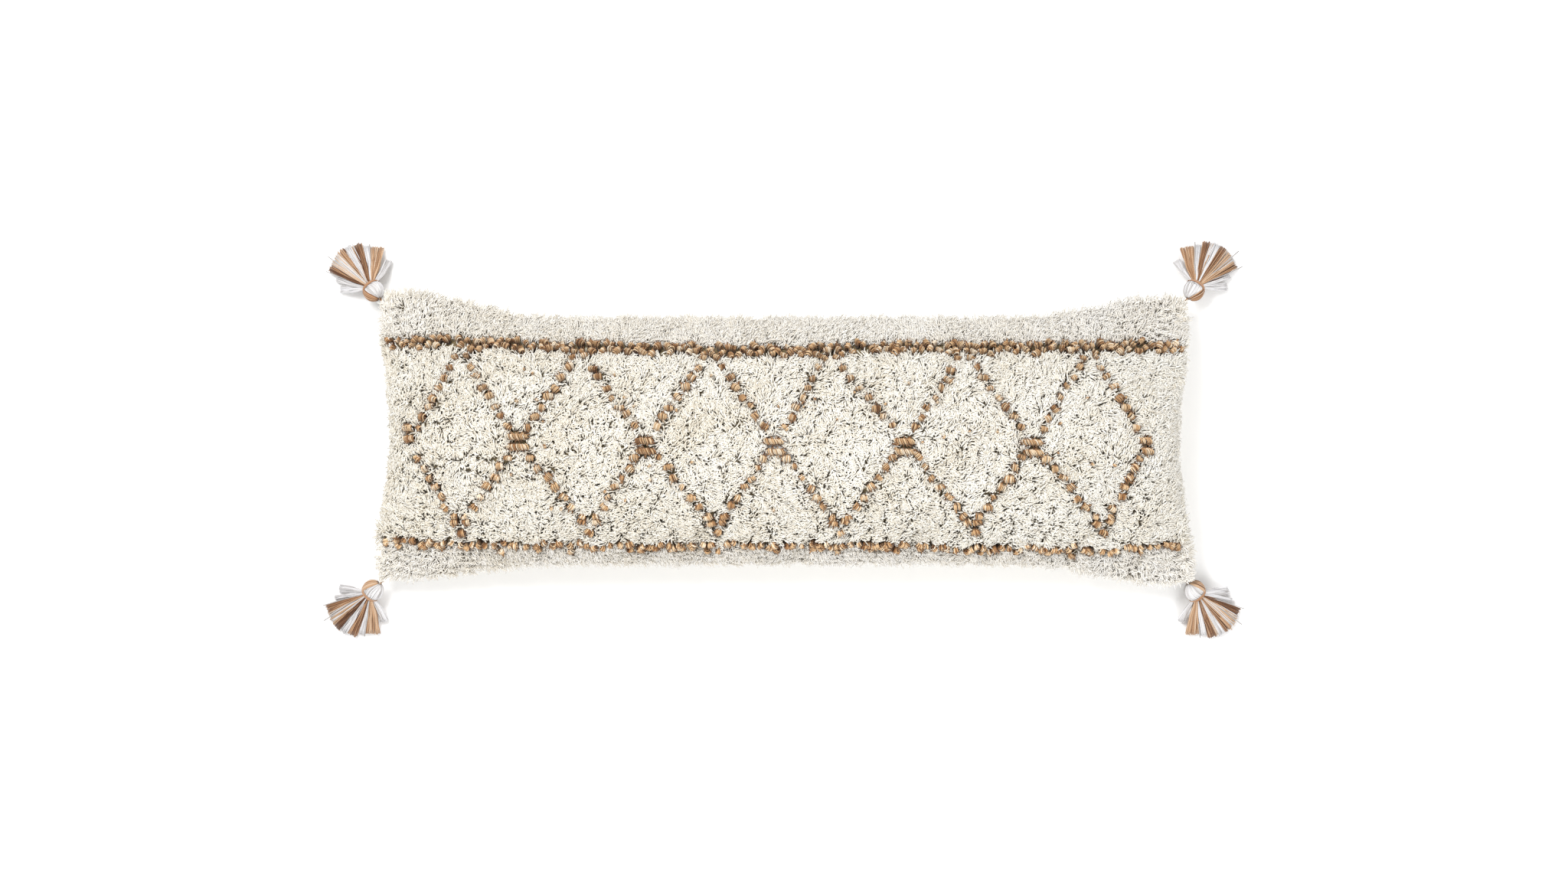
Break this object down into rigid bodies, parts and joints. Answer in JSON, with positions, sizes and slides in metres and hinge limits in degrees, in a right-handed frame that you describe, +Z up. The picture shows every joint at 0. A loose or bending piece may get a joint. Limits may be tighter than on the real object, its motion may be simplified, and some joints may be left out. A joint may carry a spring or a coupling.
{
  "type": "throw pillow",
  "caption": "Long lumbar throw pillow with a tufted front in cream and tan, a diamond row between two stripes, a zipped cover, a soft insert and corner tassels.",
  "frame": {"origin": "middle of the face it rests on, under the middle of the pillow", "axes": "+Z up through the tufted front, +X along the length, +Y towards the long side without the zip"},
  "size_m": [1.0276, 0.4491, 0.1768],
  "materials": {
    "base_cloth": "plain cotton canvas, matt",
    "back_cloth": "plain woven cotton, matt",
    "seam_thread": "spun polyester thread",
    "cream_pile": "cut cotton yarn pile, matt",
    "tan_pile": "cut twisted cotton yarn, matt",
    "insert_cloth": "white polycotton, matt",
    "filling": "polyester fibre",
    "zip_tape": "woven polyester tape",
    "zip_teeth": "moulded nylon, satin",
    "zip_metal": "nickel plated, satin",
    "tassel_thread": "cotton thread",
    "white_yarn": "cotton yarn, matt",
    "tan_yarn": "cotton yarn, matt"
  },
  "bodies": {
    "pillow": {"front_panel": "base_cloth", "back_panel": "back_cloth", "seam_thread": "seam_thread", "cream_band_upper": "cream_pile", "stripe_upper": "tan_pile", "cream_field": "cream_pile", "stripe_lower": "tan_pile", "cream_band_lower": "cream_pile", "diamond_1": "tan_pile", "diamond_2": "tan_pile", "diamond_3": "tan_pile", "diamond_4": "tan_pile", "diamond_5": "tan_pile", "diamond_6": "tan_pile", "diamond_links": "tan_pile", "insert_shell_front": "insert_cloth", "insert_shell_back": "insert_cloth", "insert_filling": "filling", "zip_tape_front": "zip_tape", "zip_tape_back": "zip_tape", "zip_teeth_front": "zip_teeth", "zip_teeth_back": "zip_teeth", "zip_stop_closed": "zip_metal", "zip_stop_open": "zip_metal"},
    "slider": {"zip_slider": "zip_metal"},
    "pull": {"zip_pull": "zip_metal"},
    "tie_tl": {"tassel_tl_tie": "tassel_thread"},
    "tassel_tl": {"tassel_tl_head": "white_yarn", "tassel_tl_binding": "tassel_thread", "tassel_tl_white": "white_yarn", "tassel_tl_tan": "tan_yarn"},
    "tie_tr": {"tassel_tr_tie": "tassel_thread"},
    "tassel_tr": {"tassel_tr_head": "white_yarn", "tassel_tr_binding": "tassel_thread", "tassel_tr_white": "white_yarn", "tassel_tr_tan": "tan_yarn"},
    "tie_bl": {"tassel_bl_tie": "tassel_thread"},
    "tassel_bl": {"tassel_bl_head": "white_yarn", "tassel_bl_binding": "tassel_thread", "tassel_bl_white": "white_yarn", "tassel_bl_tan": "tan_yarn"},
    "tie_br": {"tassel_br_tie": "tassel_thread"},
    "tassel_br": {"tassel_br_head": "white_yarn", "tassel_br_binding": "tassel_thread", "tassel_br_white": "white_yarn", "tassel_br_tan": "tan_yarn"}
  },
  "joints": [
    {"name": "zip_slide", "type": "slide", "parent": "pillow", "child": "slider", "axis": [1, 0, 0], "range_m": [-0.438, 0]},
    {"name": "zip_pull_swing", "type": "hinge", "parent": "slider", "child": "pull", "pos_m": [0.219, -0.1321, 0.072], "axis": [0, 0, 1], "range_deg": [0, 175]},
    {"name": "tassel_tl_swing", "type": "hinge", "parent": "pillow", "child": "tie_tl", "pos_m": [-0.449, 0.157, 0.034], "axis": [0, 0, 1], "range_deg": [-35, 35]},
    {"name": "tassel_tl_lift", "type": "hinge", "parent": "tie_tl", "child": "tassel_tl", "pos_m": [-0.449, 0.157, 0.034], "axis": [0.766, 0.6428, 0], "range_deg": [-60, 50]},
    {"name": "tassel_tr_swing", "type": "hinge", "parent": "pillow", "child": "tie_tr", "pos_m": [0.449, 0.157, 0.034], "axis": [0, 0, 1], "range_deg": [-35, 35]},
    {"name": "tassel_tr_lift", "type": "hinge", "parent": "tie_tr", "child": "tassel_tr", "pos_m": [0.449, 0.157, 0.034], "axis": [0.809, -0.5878, 0], "range_deg": [-60, 50]},
    {"name": "tassel_bl_swing", "type": "hinge", "parent": "pillow", "child": "tie_bl", "pos_m": [-0.449, -0.157, 0.034], "axis": [0, 0, 1], "range_deg": [-35, 35]},
    {"name": "tassel_bl_lift", "type": "hinge", "parent": "tie_bl", "child": "tassel_bl", "pos_m": [-0.449, -0.157, 0.034], "axis": [-0.7071, 0.7071, 0], "range_deg": [-60, 50]},
    {"name": "tassel_br_swing", "type": "hinge", "parent": "pillow", "child": "tie_br", "pos_m": [0.449, -0.157, 0.034], "axis": [0, 0, 1], "range_deg": [-35, 35]},
    {"name": "tassel_br_lift", "type": "hinge", "parent": "tie_br", "child": "tassel_br", "pos_m": [0.449, -0.157, 0.034], "axis": [-0.7431, -0.6691, 0], "range_deg": [-60, 50]}
  ]
}
